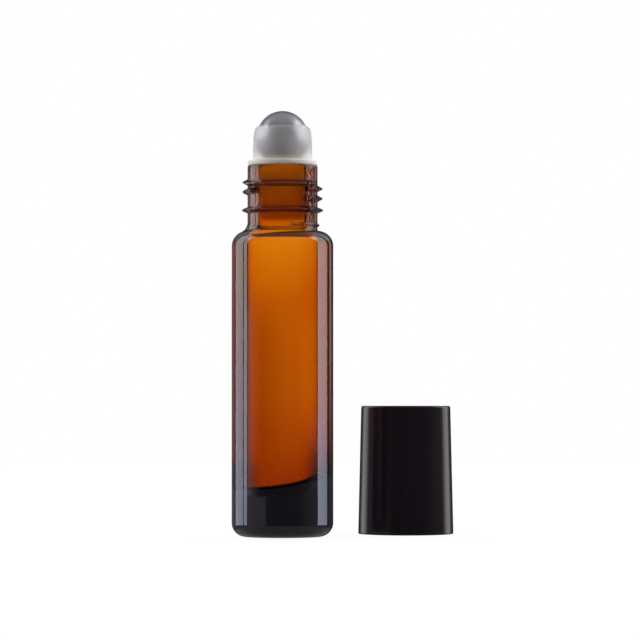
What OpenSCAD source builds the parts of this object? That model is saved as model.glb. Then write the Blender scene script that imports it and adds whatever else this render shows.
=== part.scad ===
// Roll-on bottle: thick amber glass, snap-in ball housing, steel ball, tapered screw cap.
// All sizes in millimetres. +Z is up, the origin is the middle of the bottle's foot, and the
// cap stands on the same table beside the bottle, open end down.

/* [Glass body] */
// Outer diameter of the body
body_d = 20; // [19.5:0.1:24]
// Height of the top of the shoulder above the table
shoulder_z = 60.1; // [40:0.1:90]
// Radius of the rounded shoulder
shoulder_r = 2.95; // [1.5:0.05:3]
// Radius of the rounding round the foot
foot_r = 2.75; // [1:0.05:3]
// Thickness of the body wall
wall = 3.15; // [2.5:0.05:3.4]
// Height of the cavity floor on the axis, over the solid base
floor_z = 8.9; // [7:0.1:14]
// Slope of the cavity floor in degrees, rising towards +X
floor_tilt = 8.5; // [0:0.5:10]
// Rounding where the cavity floor meets its wall
floor_r = 1.2; // [1:0.1:3]
// Height of the shoulder's top above the cavity's roof
roof_drop = 1.1; // [1:0.05:2]
// Rounding where the cavity's roof meets its wall
roof_r = 1.9; // [1:0.1:2.1]
// Depth of the hollow under the foot
punt_h = 0.55; // [0.2:0.05:1]
// Width of the flat ring that the foot stands on
foot_ring = 1.2; // [0.6:0.1:2]

/* [Neck] */
// Outer diameter of the neck, under the ridges of its thread
neck_d = 13.8; // [13.4:0.1:14]
// Height of the neck above the shoulder
neck_h = 12.9; // [10:0.1:16]
// Bore that takes the plug of the ball housing
bore_d = 9.4; // [9.2:0.1:9.8]
// Height of the middle of the bead above the shoulder
bead_up = 4.1; // [3:0.1:6]
// Diameter over the bead
bead_d = 16; // [15:0.1:16.2]
// Height of the bead
bead_w = 1.3; // [1:0.1:2]
// Radius of the fillet at the foot of the neck
neck_fillet = 0.5; // [0.2:0.05:0.8]
// Height above the shoulder of the low ridge that the neck ring of the mould leaves
seam_up = 1.15; // [1:0.05:1.5]
// Diameter over that ridge
seam_d = 14.6; // [14.2:0.1:15]
// Height of that ridge
seam_w = 0.9; // [0.6:0.1:1]
// Rounding of the rim's outer edge
rim_r = 0.35; // [0.1:0.05:0.6]
// Chamfer at the mouth of the bore
mouth_chamfer = 0.3; // [0.1:0.05:0.5]

/* [Ball and housing] */
// Diameter of the ball
ball_d = 10; // [9.5:0.05:10.1]
// Running clearance between the ball and its socket, on the radius
ball_gap = 0.06; // [0.03:0.01:0.1]
// Height of the ball's centre above the flange
ball_up = 4.8; // [4.7:0.05:5]
// Diameter of the flange that rests on the glass
flange_d = 13.8; // [13:0.1:14]
// Thickness of the flange
flange_t = 1; // [0.8:0.05:1.5]
// Diameter of the cup where it meets the flange
cup_d = 11.64; // [11.6:0.02:12.4]
// Draft of the cup's wall, on the radius, from the flange to the crown
cup_draft = 0.08; // [0:0.01:0.1]
// Height of the lip above the flange
cup_h = 6.8; // [6.5:0.05:6.9]
// Radius of the crowned upper part of the cup
crown_r = 7; // [6:0.5:12]
// Height of the rounded lip above the crown
lip_t = 0.65; // [0.5:0.05:0.8]
// Angle over which the cup is crowned
crown_a = 17; // [10:1:18]
// Width of the ring channel round the lower half of the ball
feed_gap = 0.18; // [0.1:0.02:0.2]
// Number of ribs that carry the ball across the channel
feed_ribs = 6; // [3:1:10]
// Thickness of those ribs
rib_t = 0.8; // [0.5:0.1:1.2]
// Diameter of the feed hole under the ball
feed_d = 3.8; // [2:0.1:4.4]
// Length of the plug below the flange
plug_l = 10.6; // [7:0.1:11]
// Diameter of the plug between its sealing rings
plug_d = 8.8; // [8.4:0.1:9]
// Bore of the plug
plug_bore_d = 7.1; // [6.2:0.1:7.3]
// Thickness of the web between the plug's bore and the ball's socket
web_t = 1.1; // [1:0.05:2]
// Number of sealing rings on the plug
seal_n = 3; // [2:1:4]
// Clearance of the sealing rings in the bore, on the radius
seal_gap = 0.05; // [0.03:0.01:0.08]
// Height of one sealing ring
seal_w = 0.9; // [0.6:0.1:1.2]

/* [Cap] */
// Height of the cap
cap_h = 25.65; // [24:0.05:30]
// Diameter at the open end
cap_low_d = 19.1; // [18.6:0.05:20]
// Diameter at the closed end
cap_top_d = 17.9; // [17.2:0.05:18.4]
// Rounding of the closed end's edge
cap_edge_r = 0.4; // [0.2:0.05:1]
// Thickness of the closed end
cap_top_t = 1.3; // [0.8:0.1:2]
// Bore of the part that takes the neck
cap_thread_d = 16.4; // [16.2:0.1:16.6]
// Depth of that bore from the open end
cap_thread_l = 11.9; // [10:0.1:12.2]
// Bore above it, round the flange and the ball housing
cap_bore_d = 14.6; // [14.2:0.1:15]
// Thickness of the sealing liner
liner_t = 0.8; // [0.6:0.05:1]
// Diameter of the middle of the liner's ring, which presses on the ball
liner_ring_d = 5.4; // [4:0.1:6.5]
// Height of that ring
liner_ring_h = 0.9; // [0.5:0.1:1.2]
// Thickness of that ring
liner_ring_t = 0.8; // [0.5:0.1:1.2]

/* [Placing] */
// Distance of the cap to the right of the bottle
cap_x = 24.6; // [21:0.1:40]
// Distance of the cap behind the bottle
cap_y = 14; // [-20:0.5:20]

/* [Hidden] */
$fn = 96;
arc_steps = 10;
// How far the tilted cup of the cavity's floor stands out past the cavity's wall
floor_spare = 0.9;
// Chamfer of the plug's tip, across and along
plug_lead = [0.35, 0.8];
// Height of the lowest sealing ring above the plug's tip, and the plain length left over
seal_up = 1.9;
seal_spare = 3;
// Rounding of the flange's edges
flange_edge_r = 0.25;
// Chamfer at the plug's mouth, across and along
mouth_lead = [0.15, 0.6];
// Funnel over the plug's bore: its height, its width at the top and the cone into the hole
funnel_h = 0.9;
funnel_w = 0.5;
funnel_cone = 0.4;
// Height of the seat band above the ring channel, under the ball's middle
seat_band = 0.8;
// Chamfers of the cap's rim, outside and inside, and of the liner's edge
cap_rim = 0.2;
cap_lead = 0.45;
liner_edge = 0.2;
body_r = body_d / 2;
cavity_r = body_r - wall;
bore_r = bore_d / 2;
neck_r = neck_d / 2;
neck_z = shoulder_z + neck_h;
bead_z = shoulder_z + bead_up;
seam_z = shoulder_z + seam_up;
roof_z = shoulder_z - roof_drop;
flange_z = neck_z + flange_t;
ball_r = ball_d / 2;
ball_z = flange_z + ball_up;
socket_r = ball_r + ball_gap;
lip_z = flange_z + cup_h;
cup_r = cup_d / 2;
plug_r = plug_d / 2;
plug_z = neck_z - plug_l;
seal_r = bore_r - seal_gap;
web_z = ball_z - socket_r - web_t;
cap_bore_r = cap_bore_d / 2;
cap_thread_r = cap_thread_d / 2;
ceiling_z = cap_h - cap_top_t;

// Points along an arc from angle a to angle b about the point c.
function arc(c, r, a, b) =
    [for (i = [0:arc_steps]) c + r * [cos(a + (b - a) * i / arc_steps), sin(a + (b - a) * i / arc_steps)]];

// Points of a ridge on a wall of radius r: out to the radius top, as a rounded crest.
function ridge(r, top, z, w) =
    [for (i = [0:arc_steps]) [r + (top - r) * sin(180 * i / arc_steps), z - w / 2 * cos(180 * i / arc_steps)]];

// Outline of the glass from the punt up the outside to the rim, closed along the axis.
module glass_outline() {
    foot_c = body_r - foot_r;
    ring_in = foot_c - foot_ring;
    punt_r = (ring_in * ring_in + punt_h * punt_h) / (2 * punt_h);
    punt_a = asin(ring_in / punt_r);
    polygon(concat(
        arc([0, punt_h - punt_r], punt_r, 90, 90 - punt_a),
        arc([foot_c, foot_r], foot_r, -90, 0),
        arc([body_r - shoulder_r, shoulder_z - shoulder_r], shoulder_r, 0, 90),
        arc([neck_r + neck_fillet, shoulder_z + neck_fillet], neck_fillet, -90, -180),
        ridge(neck_r, seam_d / 2, seam_z, seam_w),
        ridge(neck_r, bead_d / 2, bead_z, bead_w),
        arc([neck_r - rim_r, neck_z - rim_r], rim_r, 0, 90),
        [[0, neck_z]]
    ));
}

// The cavity above its floor, with a rounded roof, and the bore of the neck.
module cavity_outline() {
    start_z = floor_z + cavity_r / 2;
    open_z = neck_z + 1;
    mouth_r = bore_r + mouth_chamfer;
    throat_r = cavity_r - roof_r - bore_r;
    polygon(concat(
        [[0, start_z], [cavity_r, start_z]],
        arc([cavity_r - roof_r, roof_z - roof_r], roof_r, 0, 90),
        arc([bore_r + throat_r, roof_z + throat_r], throat_r, -90, -180),
        [[bore_r, neck_z - mouth_chamfer], [mouth_r, neck_z], [mouth_r, open_z], [0, open_z]]
    ));
}

// The sloping bottom of the cavity: a round-edged cup, tilted, inside the straight wall.
module cavity_floor() {
    cup_out = cavity_r + floor_spare;
    intersection() {
        cylinder(r = cavity_r, h = floor_z + cavity_r * 0.6);
        translate([0, 0, floor_z])
            rotate([0, -floor_tilt, 0])
                rotate_extrude()
                    polygon(concat(
                        [[0, 0]],
                        arc([cup_out - floor_r, floor_r], floor_r, -90, 0),
                        [[cup_out, cavity_r], [0, cavity_r]]
                    ));
    }
}

module glass_bottle() {
    color([0.62, 0.25, 0.03, 0.7])
    difference() {
        rotate_extrude() glass_outline();
        rotate_extrude() cavity_outline();
        cavity_floor();
    }
}

// Outline of the housing from the plug's tip up the outside to the lip, closed along the axis.
module housing_outline() {
    tip_r = plug_r - plug_lead[0];
    seal_low = plug_z + seal_up;
    seal_step = (plug_l - seal_spare) / seal_n;
    edge_x = flange_d / 2 - flange_edge_r;
    crown_end = [cup_r - cup_draft - crown_r * (1 - cos(crown_a)), lip_z - lip_t];
    lip_r = (lip_z - crown_end[1]) / (1 - sin(crown_a));
    crown_c = crown_end - crown_r * [cos(crown_a), sin(crown_a)];
    polygon(concat(
        [[0, plug_z], [tip_r, plug_z], [plug_r, plug_z + plug_lead[1]]],
        [for (k = [0:seal_n - 1]) each ridge(plug_r, seal_r, seal_low + k * seal_step, seal_w)],
        [[plug_r, neck_z]],
        arc([edge_x, neck_z + flange_edge_r], flange_edge_r, -90, 0),
        arc([edge_x, flange_z - flange_edge_r], flange_edge_r, 0, 90),
        [[cup_r, flange_z]],
        arc(crown_c, crown_r, 0, crown_a),
        arc(crown_end - lip_r * [cos(crown_a), sin(crown_a)], lip_r, crown_a, 90),
        [[0, lip_z]]
    ));
}

// The bore of the plug, a funnel and the feed hole that opens under the ball.
module feed_outline() {
    bore = plug_bore_d / 2;
    hole = feed_d / 2;
    mouth = bore + mouth_lead[0];
    open_z = plug_z - 1;
    polygon([
        [0, open_z], [mouth, open_z], [mouth, plug_z], [bore, plug_z + mouth_lead[1]],
        [bore, web_z - funnel_h], [hole + funnel_w, web_z], [hole, web_z + funnel_cone],
        [hole, ball_z], [0, ball_z]
    ]);
}

// Ribs that stand across the channel and carry the ball.
module feed_rib_set() {
    for (k = [0:feed_ribs - 1])
        rotate([0, 0, 360 * (k + 0.5) / feed_ribs])
            translate([0, -rib_t / 2, ball_z - ball_d])
                cube([cup_r, rib_t, ball_d]);
}

// The channel round the lower half of the ball, cut across by the ribs.
module feed_channel() {
    difference() {
        intersection() {
            translate([0, 0, ball_z]) sphere(r = socket_r + feed_gap);
            translate([0, 0, ball_z - ball_d]) cylinder(r = cup_r, h = ball_d - seat_band);
        }
        feed_rib_set();
    }
}

module roller_housing() {
    color([0.86, 0.84, 0.8, 0.85])
    difference() {
        rotate_extrude() housing_outline();
        rotate_extrude() feed_outline();
        translate([0, 0, ball_z]) sphere(r = socket_r);
        feed_channel();
    }
}

module roller_ball() {
    color([0.72, 0.72, 0.74])
    translate([0, 0, ball_z])
        sphere(r = ball_r);
}

// Outline of the cap from its rim up the tapered outside, closed along the axis.
module cap_outline() {
    low_r = cap_low_d / 2;
    top_r = cap_top_d / 2;
    taper = atan((low_r - top_r) / cap_h);
    edge_x = top_r - cap_edge_r * (1 - tan(taper));
    polygon(concat(
        [[0, 0], [low_r - cap_rim, 0], [low_r - cap_rim * tan(taper), cap_rim]],
        arc([edge_x, cap_h - cap_edge_r], cap_edge_r, taper, 90),
        [[0, cap_h]]
    ));
}

// The stepped bore of the cap: a lead-in, the neck's room, a ledge, and the liner's seat.
module cap_bore_outline() {
    ledge = cap_thread_r - cap_bore_r;
    mouth = cap_thread_r + cap_lead;
    polygon([
        [0, -1], [mouth, -1], [mouth, 0], [cap_thread_r, cap_lead],
        [cap_thread_r, cap_thread_l - ledge], [cap_bore_r, cap_thread_l],
        [cap_bore_r, ceiling_z], [0, ceiling_z]
    ]);
}

module cap() {
    color([0.08, 0.06, 0.08])
    translate([cap_x, cap_y, 0])
        rotate_extrude()
            difference() {
                cap_outline();
                cap_bore_outline();
            }
}

// Sealing disc pressed against the cap's closed end, with a ring that bears on the ball.
module cap_liner() {
    ring_r = liner_ring_d / 2;
    disc_z = ceiling_z - liner_t;
    ring_z = disc_z - liner_ring_h;
    half_t = liner_ring_t / 2;
    color([0.9, 0.89, 0.86])
    translate([cap_x, cap_y, 0])
        rotate_extrude()
            polygon(concat(
                [[0, ceiling_z], [0, disc_z], [ring_r - half_t, disc_z]],
                arc([ring_r, ring_z + half_t], half_t, 180, 360),
                [[ring_r + half_t, disc_z], [cap_bore_r - liner_edge, disc_z]],
                [[cap_bore_r, disc_z + liner_edge], [cap_bore_r, ceiling_z]]
            ));
}

glass_bottle();
roller_housing();
roller_ball();
cap();
cap_liner();
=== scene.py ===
"""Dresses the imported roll-on bottle: amber glass, ball housing, steel ball, screw cap and liner.

Lengths are millimetres until a mesh is made, as in the part's own source. Meshes and places
in the scene are metres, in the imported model's frame: +Z up, the origin under the bottle's foot.
"""

import logging
import math
from dataclasses import dataclass, field
from enum import Enum
from typing import Any, Union

import bmesh
import bpy
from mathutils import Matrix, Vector


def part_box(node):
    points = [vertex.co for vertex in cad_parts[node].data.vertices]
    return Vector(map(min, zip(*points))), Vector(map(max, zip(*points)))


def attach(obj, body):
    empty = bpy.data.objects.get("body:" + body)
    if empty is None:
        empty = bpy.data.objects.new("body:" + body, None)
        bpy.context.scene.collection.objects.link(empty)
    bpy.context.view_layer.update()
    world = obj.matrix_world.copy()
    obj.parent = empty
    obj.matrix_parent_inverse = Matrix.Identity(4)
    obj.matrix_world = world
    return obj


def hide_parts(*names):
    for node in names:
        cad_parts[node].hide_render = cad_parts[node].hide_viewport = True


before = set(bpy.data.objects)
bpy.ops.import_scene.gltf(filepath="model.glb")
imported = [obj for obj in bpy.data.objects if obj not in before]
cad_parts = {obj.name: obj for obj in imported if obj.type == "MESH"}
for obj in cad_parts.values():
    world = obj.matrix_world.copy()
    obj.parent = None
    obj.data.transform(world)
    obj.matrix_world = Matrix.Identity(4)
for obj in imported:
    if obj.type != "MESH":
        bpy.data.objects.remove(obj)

MM = 0.001
# Steps round the axis, the least radius of a ring, the distance at which points are merged and
# the power that softens the feet of a ring.
LATHE_STEPS = 256
POLE = 1e-6
WELD = 1e-4
SOFT_FEET = 1.5
# An angle past the end of every thread, in degrees.
NEVER = 9000.0
LOG = logging.getLogger("roll_on_bottle")

Socket = bpy.types.NodeSocket
Value = Union[float, Socket]
Colour = tuple[float, float, float]
Point = tuple[float, float]
# Where a change starts and ends.
Limits = tuple[float, float]
# Where a change starts and ends, and the levels before and after it.
Ease = tuple[float, float, float, float]


class Side(Enum):
    """The two sides of the set, seen from the camera."""

    LEFT = -1
    RIGHT = 1


@dataclass(frozen=True)
class Rays:
    """Masks that tell how a ray arrived, as sockets."""

    camera: Socket
    through: Socket
    direct: Socket
    mirrored: Socket


@dataclass
class NodeBoard:
    """Lays out nodes in a shader or geometry tree."""

    tree: bpy.types.NodeTree

    def add(self, kind: str, **settings: Any) -> bpy.types.Node:
        """Adds a node.

        Args:
            kind: The node's type name.
            settings: Properties to set on the node.

        Returns:
            The new node.
        """
        node = self.tree.nodes.new(kind)
        for name, value in settings.items():
            setattr(node, name, value)
        return node

    def feed(self, target: Socket, value: Value) -> None:
        """Gives a socket a number or joins another socket to it.

        Args:
            target: The input socket.
            value: A plain value, or the output socket that feeds it.
        """
        if isinstance(value, bpy.types.NodeSocket):
            self.tree.links.new(value, target)
        else:
            target.default_value = value

    def math(self, operation: str, *values: Value, clamp: bool = False) -> Socket:
        """Adds a Math node.

        Args:
            operation: The operation's name, such as MULTIPLY.
            values: Its inputs, in order.
            clamp: Whether the result stays between 0 and 1.

        Returns:
            The result's socket.
        """
        node = self.add("ShaderNodeMath", operation=operation, use_clamp=clamp)
        for socket, value in zip(node.inputs, values):
            self.feed(socket, value)
        return node.outputs[0]

    def ramp(
        self, value: Value, low: Value, high: Value, start: Value = 0.0, end: Value = 1.0,
    ) -> Socket:
        """Eases smoothly from one value to another.

        Args:
            value: The value that drives it.
            low: Where the change starts.
            high: Where the change ends.
            start: The result below low.
            end: The result above high.

        Returns:
            The result's socket.
        """
        node = self.add("ShaderNodeMapRange", interpolation_type="SMOOTHSTEP")
        for socket, number in zip(node.inputs, (value, low, high, start, end)):
            self.feed(socket, number)
        return node.outputs[0]

    def mix(self, share: Value, first: Value, second: Value) -> Socket:
        """Mixes two numbers.

        Args:
            share: How much of the second is taken.
            first: The result at a share of 0.
            second: The result at a share of 1.

        Returns:
            The result's socket.
        """
        node = self.add("ShaderNodeMix", data_type="FLOAT")
        self.feed(node.inputs[0], share)
        self.feed(node.inputs[2], first)
        self.feed(node.inputs[3], second)
        return node.outputs[0]

    def within(self, height: Socket, limits: Limits, ease: float) -> Socket:
        """Masks a band of heights.

        Args:
            height: The height's socket, in metres.
            limits: The band's lower and upper edge, in millimetres.
            ease: Width of its soft edges, in millimetres.

        Returns:
            The mask's socket: 1 inside the band.
        """
        above = self.ramp(height, limits[0] * MM, (limits[0] + ease) * MM)
        below = self.ramp(height, (limits[1] - ease) * MM, limits[1] * MM, 1.0, 0.0)
        return self.math("MULTIPLY", above, below)

    def blend(self, share: Value, tint: Socket, other: Colour) -> Socket:
        """Blends a tint with one plain colour.

        Args:
            share: How much of the plain colour shows.
            tint: The tint's socket.
            other: The plain colour.

        Returns:
            The blended tint's socket.
        """
        node = self.add("ShaderNodeMix", data_type="RGBA")
        self.feed(node.inputs[0], share)
        self.feed(node.inputs[6], tint)
        node.inputs[7].default_value = (*other, 1.0)
        return node.outputs[2]

    def colours(self, share: Value, stops: list[tuple[float, Colour]]) -> Socket:
        """Adds a colour ramp.

        Args:
            share: Where on the ramp to read, from 0 to 1.
            stops: Places on the ramp and their colours.

        Returns:
            The colour's socket.
        """
        node = self.add("ShaderNodeValToRGB")
        band = node.color_ramp.elements
        while len(band) < len(stops):
            band.new(0.5)
        for element, (place, colour) in zip(band, stops):
            element.position = place
            element.color = (*colour, 1.0)
        self.feed(node.inputs[0], share)
        return node.outputs[0]

    def product(self, first: Value, *others: Value) -> Socket:
        """Multiplies numbers.

        Args:
            first: The first number.
            others: At least one more.

        Returns:
            The product's socket.
        """
        for other in others:
            first = self.math("MULTIPLY", first, other)
        return first

    def distance(self, x: Socket, y: Socket) -> Socket:
        """Works out a distance from the axis.

        Args:
            x: The distance to the right.
            y: The distance to the back.

        Returns:
            The distance's socket.
        """
        squares = self.math("ADD", self.math("MULTIPLY", x, x), self.math("MULTIPLY", y, y))
        return self.math("SQRT", squares)

    def split(self, vector: Socket) -> tuple[Socket, Socket, Socket]:
        """Takes a vector apart.

        Args:
            vector: The vector's socket.

        Returns:
            The sockets of its three parts.
        """
        node = self.add("ShaderNodeSeparateXYZ")
        self.feed(node.inputs[0], vector)
        return node.outputs[0], node.outputs[1], node.outputs[2]

    def noise(self, place: Socket, size: float, detail: float) -> Socket:
        """Adds a soft random pattern.

        Args:
            place: The coordinates that it follows.
            size: Size of its grain, in millimetres.
            detail: How much finer grain is laid over it.

        Returns:
            The pattern's socket.
        """
        node = self.add("ShaderNodeTexNoise")
        self.feed(node.inputs["Vector"], place)
        self.feed(node.inputs["Scale"], 1.0 / (size * MM))
        self.feed(node.inputs["Detail"], detail)
        return node.outputs[0]

    def bump(self, height: Socket, depth: float, strength: float) -> Socket:
        """Adds a bump.

        Args:
            height: The pattern that it raises.
            depth: How far it raises it, in millimetres.
            strength: How much of it shows.

        Returns:
            The bent normal's socket.
        """
        node = self.add("ShaderNodeBump")
        self.feed(node.inputs["Strength"], strength)
        self.feed(node.inputs["Distance"], depth * MM)
        self.feed(node.inputs["Height"], height)
        return node.outputs[0]

    def rays(self) -> Rays:
        """Tells the camera's rays, rays through glass and mirrored rays apart.

        Returns:
            The masks. A direct ray has passed through glass without being mirrored.
        """
        path = self.add("ShaderNodeLightPath").outputs
        mirrored = self.math("GREATER_THAN", path["Glossy Depth"], 0.5)
        through = path["Is Transmission Ray"]
        direct = self.math("MULTIPLY", through, self.math("SUBTRACT", 1.0, mirrored))
        return Rays(path["Is Camera Ray"], through, direct, mirrored)


def blank_material(name: str) -> bpy.types.Material:
    """Makes a material with an empty node tree.

    Args:
        name: The material's name.

    Returns:
        The material.
    """
    finish = bpy.data.materials.new(name)
    finish.use_nodes = True
    finish.node_tree.nodes.clear()
    return finish


@dataclass
class Outline:
    """A lathe outline in millimetres: distance from the axis and height, point by point."""

    points: list[Point] = field(default_factory=list)

    def to(self, x: float, z: float, steps: int = 1) -> "Outline":
        """Draws a straight line.

        Args:
            x: Distance of its end from the axis.
            z: Height of its end.
            steps: Number of equal steps along it.

        Returns:
            This outline.
        """
        if not self.points:
            self.points.append((x, z))
            return self
        x0, z0 = self.points[-1]
        for i in range(1, steps + 1):
            share = i / steps
            self.points.append((x0 + (x - x0) * share, z0 + (z - z0) * share))
        return self

    def arc(self, centre: Point, radius: float, start: float, end: float, steps: int) -> "Outline":
        """Draws an arc.

        Args:
            centre: Its centre.
            radius: Its radius.
            start: The angle it starts at, in degrees from the outward direction.
            end: The angle it ends at.
            steps: Number of steps along it.

        Returns:
            This outline.
        """
        for i in range(steps + 1):
            angle = math.radians(start + (end - start) * i / steps)
            x, z = radius * math.cos(angle), radius * math.sin(angle)
            self.points.append((centre[0] + x, centre[1] + z))
        return self

    def ridge(self, wall_r: float, top_r: float, z: float, width: float, steps: int) -> "Outline":
        """Draws a ring's cross-section on an upright wall, with a rounded crest and soft feet.

        Args:
            wall_r: Radius of the wall.
            top_r: Radius over the crest.
            z: Height of the crest.
            width: Height of the ring on the wall.
            steps: Number of steps along it.

        Returns:
            This outline.
        """
        for i in range(steps + 1):
            share = i / steps
            rise = math.sin(math.pi * share) ** SOFT_FEET
            self.points.append((wall_r + (top_r - wall_r) * rise, z + width * (share - 0.5)))
        return self

    def lathe(self, name: str, centre: Point = (0.0, 0.0)) -> bpy.types.Object:
        """Turns the outline about an upright axis into a closed smooth mesh.

        Args:
            name: The new object's name.
            centre: Where the axis stands.

        Returns:
            The new object, with its place in its mesh.
        """
        form = bmesh.new()
        rings: list[list[bmesh.types.BMVert]] = []
        for r, z in self.points:
            count = 1 if r < POLE else LATHE_STEPS
            ring = []
            for k in range(count):
                angle = math.tau * k / LATHE_STEPS
                place = (centre[0] + r * math.cos(angle), centre[1] + r * math.sin(angle), z)
                ring.append(form.verts.new(Vector(place) * MM))
            rings.append(ring)
        for low, high in zip(rings, rings[1:]):
            for k in range(LATHE_STEPS):
                corners = [
                    low[k % len(low)], low[(k + 1) % len(low)],
                    high[(k + 1) % len(high)], high[k % len(high)],
                ]
                face = list(dict.fromkeys(corners))
                if len(face) > 2:
                    form.faces.new(face)
        bmesh.ops.remove_doubles(form, verts=form.verts, dist=WELD * MM)
        bmesh.ops.recalc_face_normals(form, faces=form.faces)
        for face in form.faces:
            face.smooth = True
        mesh = bpy.data.meshes.new(name)
        form.to_mesh(mesh)
        form.free()
        piece = bpy.data.objects.new(name, mesh)
        bpy.context.scene.collection.objects.link(piece)
        return piece


@dataclass(frozen=True)
class Thread:
    """Sizes of one right-hand ridge on a round wall, in millimetres and degrees.

    Its height climbs by the pitch, swings a little within each turn, and may go level at its end.
    An angle of NEVER leaves the level part or the gap out.
    """

    wall_r: float
    depth: float
    pitch: float
    width: float
    start_z: float
    first: float
    lead_in: float
    last: float
    run_out: float
    swing: float = 0.0
    level_z: float = 0.0
    level_from: float = NEVER
    gap_from: float = NEVER
    gap_to: float = NEVER
    ease: float = 15.0


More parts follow.
